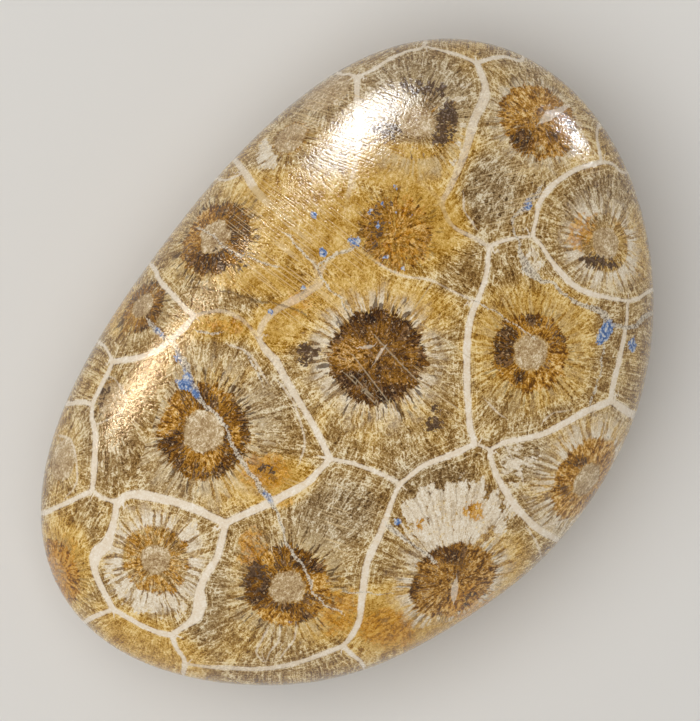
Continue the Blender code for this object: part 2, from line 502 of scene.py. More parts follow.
# %% The calices
# x, y, ring radius, core radius / ring radius, dark, orange, pale halo, reach of the halo, brown core
CALICES = (
    (215, 237, 41, 0.42, 0.34, 0.90, 0.35, 1.7, 0.0),
    (203, 432, 47, 0.42, 0.40, 0.90, 0.70, 1.9, 0.0),
    (377, 357, 48, 0.06, 0.40, 1.00, 0.85, 1.6, 1.0),
    (531, 352, 40, 0.44, 0.16, 1.00, 0.40, 1.8, 0.0),
    (606, 243, 31, 0.52, 0.00, 0.15, 1.00, 1.9, 0.0),
    (540, 120, 42, 0.05, 0.14, 0.55, 0.80, 1.4, 0.1),
    (417, 122, 42, 0.44, 0.05, 0.10, 0.60, 1.7, 0.0),
    (394, 234, 37, 0.05, 0.16, 0.48, 0.00, 1.3, 0.5),
    (111, 398, 20, 0.85, 0.20, 0.20, 0.40, 1.4, 0.0),
    (62, 460, 24, 0.85, 0.05, 0.10, 0.30, 1.4, 0.0),
    (58, 572, 34, 0.45, 0.15, 0.90, 0.30, 1.4, 0.0),
    (155, 560, 36, 0.42, 0.08, 0.36, 1.00, 1.7, 0.0),
    (287, 587, 43, 0.40, 0.40, 0.90, 0.60, 1.7, 0.0),
    (454, 583, 46, 0.05, 0.16, 1.00, 0.90, 1.6, 0.8),
    (588, 480, 46, 0.42, 0.06, 1.00, 0.90, 1.8, 0.0),
    (650, 368, 28, 0.35, 0.40, 0.60, 0.30, 1.5, 0.0),
    (290, 138, 22, 0.80, 0.05, 0.30, 0.25, 1.5, 0.1),
    (326, 92, 29, 0.90, 0.00, 0.10, 0.15, 1.3, 0.1),
    (470, 30, 30, 0.40, 0.50, 0.40, 0.40, 1.6, 0.0),
    (142, 306, 30, 0.45, 0.35, 0.45, 0.40, 1.5, 0.0),
    (74, 372, 24, 0.45, 0.40, 0.40, 0.40, 1.5, 0.0),
    (110, 668, 30, 0.42, 0.50, 0.60, 0.50, 1.5, 0.0),
    (285, 700, 34, 0.40, 0.60, 0.50, 0.60, 1.6, 0.0),
    (630, 130, 34, 0.45, 0.40, 0.40, 0.40, 1.5, 0.0),
    (470, 655, 30, 0.40, 0.50, 0.60, 0.50, 1.5, 0.0),
)
# The same numbers from the core radius on. The cells of the underside take them in turn.
UNDER_TONES = (
    (0.42, 0.7, 0.5, 0.7, 1.7, 0.0), (0.08, 1.0, 0.4, 0.8, 1.6, 1.0), (0.40, 0.3, 0.8, 0.5, 1.5, 0.0),
    (0.45, 0.6, 0.5, 0.9, 1.8, 0.0), (0.38, 0.8, 0.4, 0.5, 1.6, 0.2), (0.42, 0.4, 0.9, 0.8, 1.5, 0.0),
)
calices = np.array(CALICES)

# %% Which cell each face belongs to
def crosses(from_points, to_point, starts, ends):
    """How many of the pieces from starts to ends the straight line from each point to to_point crosses. Two
    pieces cross where each one's ends lie on opposite sides of the other."""
    def side(p, q, r):
        there, beyond = q - p, r - p
        return there[..., 0] * beyond[..., 1] - there[..., 1] * beyond[..., 0]

    points = from_points[:, None]
    split_wall = side(points, to_point, starts) * side(points, to_point, ends) < 0
    split_view = side(starts, ends, points) * side(starts, ends, to_point[None, None]) < 0
    return (split_wall & split_view).sum(axis=1)


pieces = [(line[:-1, :2], line[1:, :2]) for line in [*wall_lines, *side_lines, loop_line]]
piece_starts = np.concatenate([start for start, _ in pieces])
piece_ends = np.concatenate([end for _, end in pieces])
face_picture = picture[faces].mean(axis=1)
face_below = below[faces].mean(axis=1) > 0.5
SIGHT = 170.0  # picture units: no cell reaches farther from its core
BLOCKED = 1000.0  # what a wall in between adds to the distance
cost = np.full((len(faces), len(calices)), NEVER)
for which, spot in enumerate(calices[:, :2]):
    gap = np.linalg.norm(face_picture - spot, axis=1)
    near = np.flatnonzero((gap < SIGHT) & ~face_below)
    close = np.linalg.norm(piece_starts - spot, axis=1) < SIGHT + LINE_STEP
    blocked = crosses(face_picture[near], spot, piece_starts[close], piece_ends[close])
    cost[near, which] = gap[near] + BLOCKED * blocked
face_cell = cost.argmin(axis=1)
face_cell[face_below] = len(calices) + under_cell[faces[face_below, 0]]
print("faces that see no core:", int(((cost.min(axis=1) >= BLOCKED) & ~face_below).sum()), "of", len(faces))

# %% Where each corner lies in its own cell
UPRIGHT = 1.5  # the cups stood side by side, so near the edge they are cut at a slant and still look round
GOLDEN_STEP = 0.618  # gives each cell its own place in the noise, far from its neighbours'
MOST_SPREAD = 1.7  # how much longer the way over a curved side may be than it looks from the core
under_tones = np.array([UNDER_TONES[i % len(UNDER_TONES)] for i in range(len(UNDER_SEEDS))])
under_radii = 38 + 7 * np.sin(2.4 * np.arange(len(UNDER_SEEDS)))  # no two alike
core_places = np.concatenate([stone_points(calices[:, :2]), under_places])
core_radii = np.concatenate([calices[:, 2], under_radii]) * PICTURE_UNIT
core_tones = np.concatenate([calices[:, 3:], under_tones])
core_seeds = np.arange(len(core_places)) * GOLDEN_STEP % 1
nearest_point = [int(np.linalg.norm(place - spot, axis=1).argmin()) for spot in core_places]
core_normals = normal[nearest_point] + UPRIGHT * np.sign(normal[nearest_point][:, 2:]) * (0, 0, 1)
core_normals /= np.linalg.norm(core_normals, axis=1)[:, None]
right = np.array([*TO_STONE[:, 0], 0.0])
core_right = right - core_normals * (core_normals @ right)[:, None]
core_right /= np.linalg.norm(core_right, axis=1)[:, None]
core_down = np.cross(core_right, core_normals)

offset = place[faces] - core_places[face_cell][:, None]
flat_right = np.einsum("ijk,ik->ij", offset, core_right[face_cell])
flat_down = np.einsum("ijk,ik->ij", offset, core_down[face_cell])
true_away = np.linalg.norm(offset, axis=2)
flat_away = np.maximum(np.hypot(flat_right, flat_down), 1e-6)
to_radii = np.clip(true_away / flat_away, 1, MOST_SPREAD) / core_radii[face_cell][:, None]
in_cell = np.stack([flat_right * to_radii, flat_down * to_radii], axis=-1)
print("downwards is downwards:", bool((core_down[:20] @ np.array([*TO_STONE[:, 1], 0.0]) > 0).all()))


def put(name, values, domain="POINT"):
    """Gives the mesh an attribute that the material can read: 3 numbers make a vector and 4 a colour."""
    kind, field = {3: ("FLOAT_VECTOR", "vector"), 4: ("FLOAT_COLOR", "color")}[values.shape[-1]]
    data = mesh.attributes.new(name, kind, domain).data
    data.foreach_set(field, np.ascontiguousarray(values, np.float32).ravel())


corner_seed = np.broadcast_to(core_seeds[face_cell][:, None, None], (*faces.shape, 1))
spread = np.broadcast_to(core_tones[face_cell][:, None], (*faces.shape, 6))
corner_radius = np.broadcast_to(core_radii[face_cell][:, None, None], (*faces.shape, 1))
put("cell", np.concatenate([in_cell, corner_seed], axis=-1), "CORNER")
put("cell_tone", spread[..., [1, 2, 3, 0]], "CORNER")
put("cell_form", np.concatenate([spread[..., [4, 5]], corner_radius], axis=-1), "CORNER")
put("wall", walls[:, :3])

# %% [markdown]
# ## Veins, cracks and scratches
# Later cracks were filled with white and blue-grey mineral, and polishing left fine scratches. All are
# thinner than the mesh's own spacing, so they too are given as signed distances. Veins are drawn lightly
# kinked, as cracks run from grain to grain.

# %% Veins and scratches, as (x, y, width)
VEINS = (
    ((148, 322, 4), (156, 330, 5), (165, 337, 5), (172, 343, 5), (178, 352, 6), (184, 363, 8),
     (188, 374, 8), (191, 384, 9), (196, 394, 7), (203, 403, 4), (212, 412, 3), (222, 420, 3),
     (227, 432, 3), (232, 444, 3), (239, 457, 4), (248, 470, 4), (258, 484, 5), (266, 495, 7),
     (273, 505, 5), (279, 517, 2.5), (283, 532, 2.5), (287, 545, 3), (294, 555, 3), (301, 562, 2.5),
     (306, 572, 2.5), (311, 584, 2.5), (313, 593, 2), (320, 600, 2), (330, 607, 2), (342, 613, 1.5)),
    ((197, 227, 2), (203, 231, 2), (212, 235, 2), (219, 241, 2), (225, 248, 2), (232, 252, 2),
     (242, 255, 2), (252, 259, 2), (262, 262, 2), (270, 265, 2), (278, 268, 1.5)),
    ((285, 232, 2), (297, 246, 2), (308, 258, 2), (319, 270, 2), (323, 281, 2), (332, 291, 1.5),
     (340, 297, 1.5), (346, 309, 1.5), (352, 313, 1.5)),
    ((322, 262, 3), (332, 257, 3), (343, 252, 3), (354, 247, 3)),
    ((477, 302, 1.2), (490, 309, 1.2), (505, 318, 1), (520, 328, 1), (532, 336, 1)),
    ((541, 187, 3), (535, 196, 6), (528, 204, 7), (521, 210, 5), (515, 217, 3), (511, 222, 1.5),
     (514, 230, 1.5), (518, 240, 2), (520, 250, 3), (524, 262, 9), (530, 272, 10), (543, 281, 4),
     (552, 283, 3), (560, 290, 3), (568, 297, 3), (577, 303, 4), (588, 306, 5), (598, 311, 7),
     (607, 318, 8), (612, 325, 6), (618, 327, 4), (628, 327, 4), (637, 324, 5), (643, 320, 6),
     (649, 313, 5), (664, 305, 4)),
    ((604, 345, 1.5), (602, 358, 2), (601, 370, 2), (598, 380, 2), (595, 390, 2.5), (590, 404, 2)),
    ((390, 526, 5), (398, 534, 4), (408, 541, 3), (418, 548, 3), (428, 556, 3), (436, 562, 2.5)),
    ((346, 592, 1.5), (388, 594, 1.5)),
    ((246, 352, 2), (257, 372, 2), (262, 380, 2)),
    ((200, 332, 2), (218, 333, 2)),
)
THIN_LINES = (
    ((106, 376, 2), (114, 378, 2), (120, 387, 2), (127, 399, 2), (122, 410, 2), (113, 417, 2),
     (103, 422, 2), (96, 425, 2)),
    ((60, 436, 2), (70, 439, 2), (75, 452, 2), (77, 470, 2), (76, 485, 2), (66, 497, 2)),
    ((540, 527, 2), (552, 524, 3), (568, 519, 2)),
    ((527, 528, 2), (535, 540, 2), (540, 552, 2), (541, 560, 2)),
    ((507, 448, 2), (512, 458, 2), (520, 470, 2), (523, 480, 2)),
    ((545, 420, 2), (553, 413, 2), (566, 411, 2)),
    ((488, 402, 2), (495, 410, 2), (503, 417, 2)),
    ((464, 196, 2), (464, 210, 2), (470, 219, 2), (474, 225, 2)),
    ((281, 384, 2), (293, 402, 2), (301, 424, 2), (305, 444, 2), (300, 460, 2)),
    ((230, 345, 1.5), (247, 352, 2), (258, 366, 2), (268, 384, 1.5)),
    ((456, 580, 3), (455, 588, 7), (454, 595, 7), (454, 600, 4)),
    ((364, 347, 4), (370, 347, 4)),
    ((382, 350, 3), (379, 355, 4), (375, 362, 2)),
    ((542, 122, 4), (548, 116, 9), (556, 112, 7), (566, 107, 4)),
    ((268, 628, 1.5), (262, 640, 2), (256, 652, 2), (262, 660, 1.5)),
    ((280, 630, 1.5), (278, 642, 2), (270, 652, 2), (266, 662, 1.5)),
    ((296, 628, 1.5), (294, 640, 2), (286, 650, 2), (280, 658, 1.5)),
)
CRACKS = (
    ((190, 286), (200, 288), (215, 290), (228, 292), (240, 295)),
    ((252, 299), (262, 302), (280, 304), (293, 309), (305, 314)),
)
SCRATCHES = (
    ((378, 340), (417, 380), (460, 410)),
    ((352, 354), (391, 405)),
    ((375, 336), (417, 380)),
    ((352, 375), (378, 402)),
    ((346, 374), (377, 405)),
    ((423, 325), (470, 358)),
    ((433, 282), (410, 315)),
)
CRACK_WIDTH = 2.0  # picture units, as are all widths of lines
SCRATCH_WIDTH = 1.1
VEIN_KINK = 1.0
CRACK_KINK = 0.8
LINE_REACH = 3.0  # mm, from a line: its distance isn't worked out any farther


def kinked(spots, size):
    """The line moved sideways by up to about size, by two waves that never meet in step."""
    run = np.cumsum(np.hypot(*np.diff(spots[:, :2], axis=0, prepend=spots[:1, :2]).T))
    moved = spots.copy()
    moved[:, 0] += size * np.sin(run / 3.1 + spots[0, 1])
    moved[:, 1] += size * np.sin(run / 4.3 + spots[0, 0])
    return moved


kinds = {
    "vein": [kinked(smooth_line(with_strengths(line)), VEIN_KINK) for line in VEINS],
    "thin_line": [smooth_line(with_strengths(line)) for line in THIN_LINES],
    "crack": [kinked(smooth_line(widened(line, CRACK_WIDTH)), CRACK_KINK) for line in CRACKS],
    "scratch": [smooth_line(widened(line, SCRATCH_WIDTH)) for line in SCRATCHES],
}
for kind, lines in kinds.items():
    distances = nearest_line(lines, LINE_REACH)
    put(kind, distances[:, :3])
    print(f"{kind}: {len(lines)} lines, {int((distances[:, 1] < 1).sum())} points within 1 mm")

# %% [markdown]
# ## Stains and specks
# Iron and manganese soaked in after burial: an ochre wash over the upper middle, rusty patches, dark blots
# beside some cups, white chalky rays beside others, and specks of blue-grey. Each is a soft blob, which the
# material later breaks up with the grain of the stone. The darker and the more golden parts of the rings
# are given in the same way.

# %% Blobs, as (x, y, half length, half width, turn in degrees, strength)
OCHRE = (
    (330, 228, 120, 60, 15, 1.0), (268, 205, 45, 34, 40, 0.9), (420, 222, 62, 56, 20, 0.9),
    (250, 272, 80, 30, 15, 0.8), (225, 325, 50, 22, 0, 0.6), (280, 320, 45, 34, -30, 0.8),
    (530, 340, 80, 70, 0, 0.7), (120, 310, 34, 34, 0, 0.6), (455, 160, 30, 50, 0, 0.4),
    (395, 168, 60, 30, 0, 1.0), (375, 300, 110, 34, 10, 0.7), (620, 240, 40, 70, 0, 0.3),
    (60, 570, 40, 60, 0, 0.7), (150, 645, 90, 34, 30, 0.6), (580, 470, 70, 60, 0, 0.6),
    (400, 620, 90, 50, 0, 0.8), (320, 610, 40, 50, 0, 0.7), (265, 480, 60, 34, 0, 0.8),
    (480, 590, 70, 70, 0, 0.6),
)
GREY = (
    (418, 94, 74, 52, 0, 1.0), (490, 190, 40, 50, 0, 0.9), (335, 515, 60, 46, -20, 0.9),
    (430, 480, 60, 30, 0, 0.7), (110, 440, 40, 60, 0, 0.5), (600, 200, 50, 40, 0, 0.6),
    (320, 100, 50, 40, -40, 0.6), (210, 600, 24, 60, 10, 0.6), (530, 460, 40, 30, 0, 0.6),
    (270, 400, 30, 50, 0, 0.5),
)
ORANGE = (
    (228, 326, 28, 11, 5, 0.5), (266, 472, 28, 22, 0, 0.8), (386, 628, 34, 22, 10, 1.0),
    (283, 500, 12, 9, 30, 0.5), (60, 575, 22, 44, 10, 0.6), (400, 232, 40, 44, 0, 0.35),
    (300, 300, 22, 14, -30, 0.4), (580, 235, 16, 30, 10, 0.45), (470, 605, 30, 24, 0, 0.5),
    (421, 524, 7, 10, 20, 0.5), (474, 511, 14, 11, 0, 0.55), (252, 548, 16, 26, 10, 0.6),
    (340, 612, 22, 30, 20, 0.6),
)
DARK = (
    (425, 88, 30, 11, 10, 0.5), (446, 126, 15, 28, 12, 0.6), (389, 130, 20, 11, 15, 0.5),
    (381, 222, 14, 30, 15, 0.4), (598, 262, 24, 8, 8, 0.5), (307, 354, 16, 14, 0, 0.55),
    (433, 424, 13, 11, 0, 0.5), (437, 408, 8, 7, 0, 0.5), (104, 394, 6, 17, 22, 0.6),
    (232, 255, 24, 20, 0, 0.3), (265, 470, 12, 9, 0, 0.5), (255, 578, 14, 24, 10, 0.5),
)
WHITE = (
    (455, 514, 70, 42, -3, 1.1), (150, 600, 46, 18, 15, 0.6), (116, 562, 16, 44, 0, 0.5),
    (190, 560, 14, 50, 0, 0.4), (530, 262, 14, 18, -20, 0.6), (525, 465, 26, 26, 0, 0.4),
    (520, 120, 20, 40, 0, 0.4), (458, 120, 18, 50, 10, 0.5), (268, 155, 15, 19, 10, 0.9),
    (318, 108, 16, 10, 0, 0.6),
)
BLUE_DOTS = (
    (397, 213), (413, 214), (370, 212), (378, 225), (382, 203), (385, 258), (403, 268), (303, 288),
    (291, 622),
)
BLUE = (
    (606, 331, 8, 13, 25, 1.0), (600, 340, 5, 6, 0, 1.0), (632, 345, 5, 9, 0, 1.0),
    (184, 385, 10, 6, 20, 1.0), (160, 332, 9, 5, 35, 0.4), (177, 358, 9, 4, 60, 0.45),
    (187, 377, 12, 6, 60, 0.5), (196, 394, 8, 5, 50, 0.5), (268, 497, 10, 4, 55, 0.35),
    (355, 242, 9, 5, 20, 1.0), (314, 215, 4, 5, 0, 0.9), (396, 188, 4, 3, 0, 0.8), (270, 312, 4, 3, 0, 0.8),
    (323, 253, 5, 6, -30, 0.9), (398, 522, 5, 5, 0, 0.8), (528, 205, 6, 6, 0, 0.7),
    *((x, y, 3, 3, 0, 0.8) for x, y in BLUE_DOTS),
)
# Three fields of parallel scratches, each a list of blobs.
SCRATCHED = (
    ((295, 245, 95, 110, 0, 1.0), (440, 390, 60, 60, 0, 0.5)),
    ((350, 130, 90, 60, 0, 1.0), (350, 515, 60, 60, 0, 0.8), (300, 500, 40, 40, 0, 0.6)),
    ((515, 190, 60, 55, 0, 1.0),),
)
BLOBS_END = 1.1  # fold past which no blob reaches

# %% Darker and more golden parts of the rings
RING_DARK = (
    (205, 262, 26, 16, 20, 0.5), (240, 240, 14, 22, 0, 0.4), (203, 394, 18, 9, 10, 0.5),
    (247, 415, 12, 26, -10, 0.6), (233, 466, 22, 14, -20, 0.6), (170, 448, 16, 14, 40, 0.4),
    (366, 316, 26, 9, 0, 0.6), (414, 333, 14, 12, 30, 0.6), (354, 382, 18, 14, 35, 0.6),
    (388, 396, 28, 12, -10, 0.6), (506, 348, 15, 26, 10, 0.8), (535, 321, 14, 7, 10, 0.5),
    (520, 378, 9, 12, -20, 0.7), (521, 140, 14, 18, 0, 0.7), (553, 135, 10, 8, 0, 0.6),
    (310, 560, 24, 15, 30, 0.7), (257, 588, 22, 20, 0, 0.8), (284, 606, 18, 9, 20, 0.5),
    (428, 551, 18, 11, -20, 0.6), (452, 557, 14, 10, 0, 0.6), (470, 598, 10, 9, 0, 0.8),
    (412, 592, 9, 24, 10, 0.4), (578, 462, 16, 6, -10, 0.6), (563, 489, 9, 6, 40, 0.6),
    (610, 264, 20, 6, 5, 0.6),
)
RING_GOLD = (
    (200, 206, 20, 14, -40, 1.0), (192, 224, 9, 12, 0, 0.7), (166, 412, 16, 30, 10, 0.9),
    (215, 394, 12, 8, 10, 0.5), (210, 458, 14, 12, 0, 0.7), (236, 436, 7, 12, 0, 0.7),
    (348, 352, 22, 18, 0, 0.5), (414, 352, 10, 14, 0, 0.4), (540, 385, 34, 12, -15, 0.9),
    (560, 362, 10, 14, 0, 0.9), (525, 100, 20, 22, 0, 0.5), (275, 618, 26, 9, 10, 0.9),
    (320, 583, 12, 14, 0, 0.6), (266, 558, 14, 8, -30, 0.8), (490, 577, 16, 7, -10, 0.9),
    (448, 606, 24, 8, 10, 0.8), (428, 618, 18, 9, 30, 0.8), (600, 446, 34, 8, -10, 0.6),
    (560, 505, 20, 9, 30, 0.6), (552, 470, 10, 22, 10, 0.6), (402, 226, 26, 30, 0, 0.8),
)

# %% Blobs as strengths at the mesh points
def soft(blobs):
    """Strength of the strongest blob at each mesh point: full out to half its size, then falling evenly to
    nothing at its edge."""
    most = np.zeros(len(place))
    for x, y, long, wide, turn, strength in blobs:
        away = picture - (x, y)
        cos, sin = np.cos(radians(turn)), np.sin(radians(turn))
        reach = np.hypot((away @ (cos, sin)) / long, (away @ (-sin, cos)) / wide)
        most = np.maximum(most, strength * np.clip(2 - 2 * reach, 0, 1))
    return most * (fold < BLOBS_END)


stains = np.stack([soft(kind) for kind in (OCHRE, ORANGE, DARK, WHITE)], axis=1)
put("stain", stains)
put("mark", np.stack([soft(kind) for kind in (*SCRATCHED, BLUE)], axis=1))
put("ring_shade", np.stack([soft(RING_DARK), soft(RING_GOLD), 0 * fold], axis=1))
reach_to_wall = walls[:, 1] - walls[:, 2]
put("wall_more", np.stack([walls[:, 3], reach_to_wall, soft(GREY)], axis=1))
print("shares stained ochre, orange, dark and white:", (stains > 0.3).mean(axis=0).round(3).tolist())

# %% [markdown]
# ## The stone's material
# The drawing is made in the material from the attributes above, so it is as sharp as the render. Each kind
# of mark is one short cell: it makes a mask from a distance or a position in the cell, roughens its edge
# with noise in the size of the stone's own grain, and lays a colour over what is already there.

# %% Helpers for wiring nodes
material = bpy.data.materials.new("polished_coral_stone")
material.use_nodes = True
nodes = material.node_tree.nodes
links = material.node_tree.links
nodes.clear()


def feed(socket, value):
    """Gives a socket a number, a tuple, or a link from another node's socket."""
    if isinstance(value, bpy.types.NodeSocket):
        links.new(value, socket)
    else:
        socket.default_value = value


def node(kind, given, **settings):
    """A node with its sockets fed: in turn from a tuple, or by their names or numbers."""
    made = nodes.new("ShaderNode" + kind)
    for name, value in settings.items():
        setattr(made, name, value)
    for socket, value in given.items() if isinstance(given, dict) else enumerate(given):
        feed(made.inputs[socket], value)
    return made


def calc(operation, *values):
    return node("Math", values, operation=operation).outputs[0]


def plus(*values):
    return reduce(lambda total, value: calc("ADD", total, value), values)


def times(*values):
    return reduce(lambda total, value: calc("MULTIPLY", total, value), values)


def vectors(operation, *values):
    made = node("VectorMath", values, operation=operation)
    return made.outputs["Value" if operation in ("LENGTH", "DOT_PRODUCT") else "Vector"]


def scaled(vector, by):
    return node("VectorMath", {"Vector": vector, "Scale": by}, operation="SCALE").outputs["Vector"]


def triple(x, y, z):
    return node("CombineXYZ", (x, y, z)).outputs[0]


def read(name):
    """The numbers of an attribute, each as a socket. The fourth is only there in a colour."""
    made = node("Attribute", (), attribute_name=name)
    parts = node("SeparateXYZ", (made.outputs["Vector"],))
    return (*parts.outputs[:3], made.outputs["Alpha"])


def rise(value, start, end, low=0.0, high=1.0):
    """A smooth step from low at start to high at end. Start may be the larger."""
    return node("MapRange", (value, start, end, low, high), interpolation_type="SMOOTHSTEP").outputs[0]


def noise(where, size, detail=2.0, rough=0.5):
    """Noise about 0.5 whose lumps are this many picture units apart."""
    given = {"Vector": where, "Scale": 1 / size, "Detail": detail, "Roughness": rough}
    return node("TexNoise", given).outputs[0]


def colour(levels):
    """A screen colour, 0 to 255, as the linear light that the material works in."""
    part = np.array(levels) / 255
    return (*np.where(part < 0.04045, part / 12.92, ((part + 0.055) / 1.055) ** 2.4), 1.0)


def set_stops(color_ramp, stops):
    """Gives a colour ramp its (position, colour) stops."""
    while len(color_ramp.elements) < len(stops):
        color_ramp.elements.new(0.5)
    for element, (position, paint) in zip(color_ramp.elements, stops):
        element.position = position
        element.color = paint


def ramp(value, *stops):
    """Colours along a value, given as (position, (red, green, blue))."""
    made = node("ValToRGB", (value,))
    set_stops(made.color_ramp, [(position, colour(levels)) for position, levels in stops])
    return made.outputs[0]


def over(amount, below_it, above_it):
    """One colour laid over another."""
    return node("Mix", {0: amount, 6: below_it, 7: above_it}, data_type="RGBA").outputs[2]


def line_mask(name, soft_edge, rough=0.0):
    """1 inside a line and 0 beyond its edge. The plain distance hides the places, midway between two
    lines, where the signed distance jumps from one side to the other."""
    signed, plain, half, _ = read(name)
    across = calc("ABSOLUTE", signed)
    edge = half if rough == 0.0 else plus(half, rough)
    inside = rise(calc("SUBTRACT", across, edge), soft_edge, -soft_edge)
    return times(inside, rise(calc("SUBTRACT", plain, half), 0.9, 0.45))


coordinates = nodes.new("ShaderNodeTexCoord").outputs["Object"]
spot = scaled(coordinates, 1 / MM / PICTURE_UNIT)
cell_x, cell_y, cell_seed, _ = read("cell")
tone_dark, tone_orange, tone_halo, core_size = read("cell_tone")
halo_reach, brown_core, cell_radius, _ = read("cell_form")
wall_strength, wall_gap, stain_grey, _ = read("wall_more")
stain_ochre, stain_orange, stain_dark, stain_white = read("stain")
*scratched, blue_speck = read("mark")
shade_dark, shade_gold, _, _ = read("ring_shade")

# %% Grain and rays
def swing(value, by=1.0):
    """A noise's departure from its middle value, times by."""
    return times(calc("SUBTRACT", value, 0.5), by)


def threads(value, width):
    """Thin lines where a noise crosses its middle value."""
    return rise(calc("ABSOLUTE", calc("SUBTRACT", value, 0.5)), width, 0.2 * width)


flat = triple(cell_x, cell_y, 0.0)
out = vectors("LENGTH", flat)  # 1 at the ring's edge
dust = noise(spot, 1.3, 1.0)
fine = noise(spot, 2.6, 2.0)
grain = noise(spot, 5.0, 3.0, 0.6)
lump = noise(spot, 14.0, 4.0, 0.6)
broad = noise(spot, 55.0, 3.0)
heading = vectors("ADD", vectors("NORMALIZE", flat), triple(swing(lump, 0.14), swing(grain, 0.05), 0.0))
radius = times(cell_radius, 1 / PICTURE_UNIT)
away = plus(times(out, radius), times(cell_seed, 900.0))
far = rise(out, 1.25, 1.75)


def blend(amount, low, high):
    """low where amount is 0 and high where it is 1."""
    return plus(low, times(amount, calc("SUBTRACT", high, low)))


def in_rays(round_it, along_it, detail=1.0):
    """Noise laid out round the cup: its lumps are so many picture units apart round the ring's edge, and so
    many along the rays. Farther out there are more of them, so that they don't widen with distance."""
    layers = []
    for count in (1.0, 1.7):
        across = scaled(heading, times(radius, count / round_it))
        where = vectors("ADD", across, triple(0.0, 0.0, times(away, 1 / along_it)))
        layers.append(noise(where, 1.0, detail, 0.6))
    return blend(far, *layers)


def crisp(value, soft):
    """A noise pushed towards -1 and 1, so that its lumps have edges."""
    return rise(value, 0.5 - soft, 0.5 + soft, -1.0, 1.0)


comb = in_rays(2.2, 40.0)
hair = in_rays(1.3, 14.0)
needle = in_rays(3.0, 18.0)
patch = in_rays(10.0, 15.0, 3.0)
tooth = blend(rise(out, 0.25, 0.65), noise(spot, 4.6, 3.0, 0.6), in_rays(4.2, 13.0, 2.0))
sector = in_rays(36.0, 45.0)
net = threads(noise(spot, 7.5, 1.0), 0.035)
fibre = threads(in_rays(5.5, 26.0), 0.04)
ray = in_rays(3.4, 60.0)
wave_length = 4.6 * PICTURE_UNIT  # faint growth lines keep this far apart beside a wall
wall_wave = calc("SINE", plus(times(wall_gap, 2 * np.pi / wave_length), swing(lump, 8.0)))
by_wall = rise(wall_gap, 2.4, 0.3)

# %% The stone between the cups
busy = rise(stain_ochre, 0.3, 0.9, 1.0, 0.3)
line_part = plus(
    rise(comb, 0.53, 0.58, 0.0, 0.08),
    rise(comb, 0.46, 0.40, 0.0, -0.10),
    rise(hair, 0.54, 0.60, 0.0, 0.05),
    rise(hair, 0.45, 0.39, 0.0, -0.05),
    times(threads(ray, 0.07), 0.22),
    times(rise(ray, 0.53, 0.59), rise(out, 3.0, 1.2), 0.10),
    times(fibre, 0.20),
    times(net, 0.22),
    times(rise(wall_wave, 0.6, 0.95), by_wall, 0.22),
)
in_places = rise(lump, 0.4, 0.6, 0.75, 1.3)
specked = times(plus(swing(dust, 0.7), swing(fine, 0.7), swing(grain, 0.4)), rise(busy, 0.3, 1.0, 0.7, 1.0))
tone = plus(
    0.30,
    times(line_part, busy, in_places, 1.25),
    specked,
    swing(lump, 0.75),
    rise(busy, 1.0, 0.3, 0.0, 0.10),
)
TONES = (0.0, 0.25, 0.45, 0.7, 1.0)
BEIGE = ((78, 54, 28), (130, 99, 56), (161, 131, 82), (203, 179, 131), (238, 224, 191))
GOLDEN = ((94, 58, 18), (160, 119, 52), (202, 164, 92), (227, 195, 126), (244, 222, 168))
ASHEN = ((58, 44, 28), (112, 91, 62), (148, 127, 94), (184, 167, 136), (226, 215, 192))
warmth = plus(0.20, times(stain_ochre, 1.4), times(stain_grey, -0.5), swing(lump, 0.8), swing(broad, 2.0))
golden_part = rise(warmth, 0.0, 0.95)
surface = over(golden_part, ramp(tone, *zip(TONES, BEIGE)), ramp(tone, *zip(TONES, GOLDEN)))
ashen_part = times(rise(plus(stain_grey, swing(lump, 0.5)), 0.0, 1.1), 0.75)
surface = over(ashen_part, surface, ramp(tone, *zip(TONES, ASHEN)))

# %% Pale rays round each ring
halo_end = rise(plus(out, swing(lump, 0.8), swing(patch, 0.6)), halo_reach, 0.9)
halo = times(tone_halo, halo_end, rise(out, 0.88, 1.02))
pale_tone = plus(0.55, swing(dust, 0.8), swing(fine, 0.8), times(crisp(hair, 0.08), 0.12))
beige = ramp(pale_tone, (0.0, (150, 122, 76)), (0.5, (204, 182, 136)), (1.0, (236, 222, 190)))
white = ramp(pale_tone, (0.0, (184, 160, 124)), (0.5, (231, 217, 191)), (1.0, (250, 244, 231)))
pale = over(rise(tone_halo, 0.5, 1.0), beige, white)
surface = over(times(halo, rise(ray, 0.43, 0.53, 0.2, 1.2)), surface, pale)
spiked = rise(plus(out, swing(sector, 1.4), swing(patch, 0.4)), 1.30, 1.05)
spikes = times(rise(needle, 0.44, 0.38), spiked, rise(tone_dark, 0.05, 0.25), 0.8)
surface = over(spikes, surface, colour((66, 40, 16)))

# %% Rings
core_edge = plus(core_size, swing(lump, 0.3), swing(grain, 0.15))
ring_gap = calc("SUBTRACT", out, plus(0.99, swing(tooth, -0.38), swing(patch, 0.32), times(fibre, -0.06)))
in_ring = times(rise(ring_gap, 0.03, -0.03), rise(calc("SUBTRACT", out, core_edge), -0.02, 0.05))
blotch = plus(swing(dust, 0.6), swing(fine, 1.2), swing(grain, 1.6), swing(tooth, 2.8), swing(patch, 1.2))
GOLD = ((0.0, (98, 64, 26)), (0.35, (162, 117, 54)), (0.65, (203, 158, 86)), (1.0, (243, 215, 158)))
BROWN = ((0.0, (50, 30, 12)), (0.4, (116, 80, 36)), (0.7, (162, 120, 64)), (1.0, (210, 174, 120)))
gold_ring = ramp(plus(0.5, blotch), *GOLD)
brown_ring = ramp(plus(0.52, times(blotch, 1.1)), *BROWN)
dark_ring = ramp(plus(0.38, blotch), (0.0, (14, 8, 6)), (0.5, (52, 34, 22)), (1.0, (136, 102, 66)))
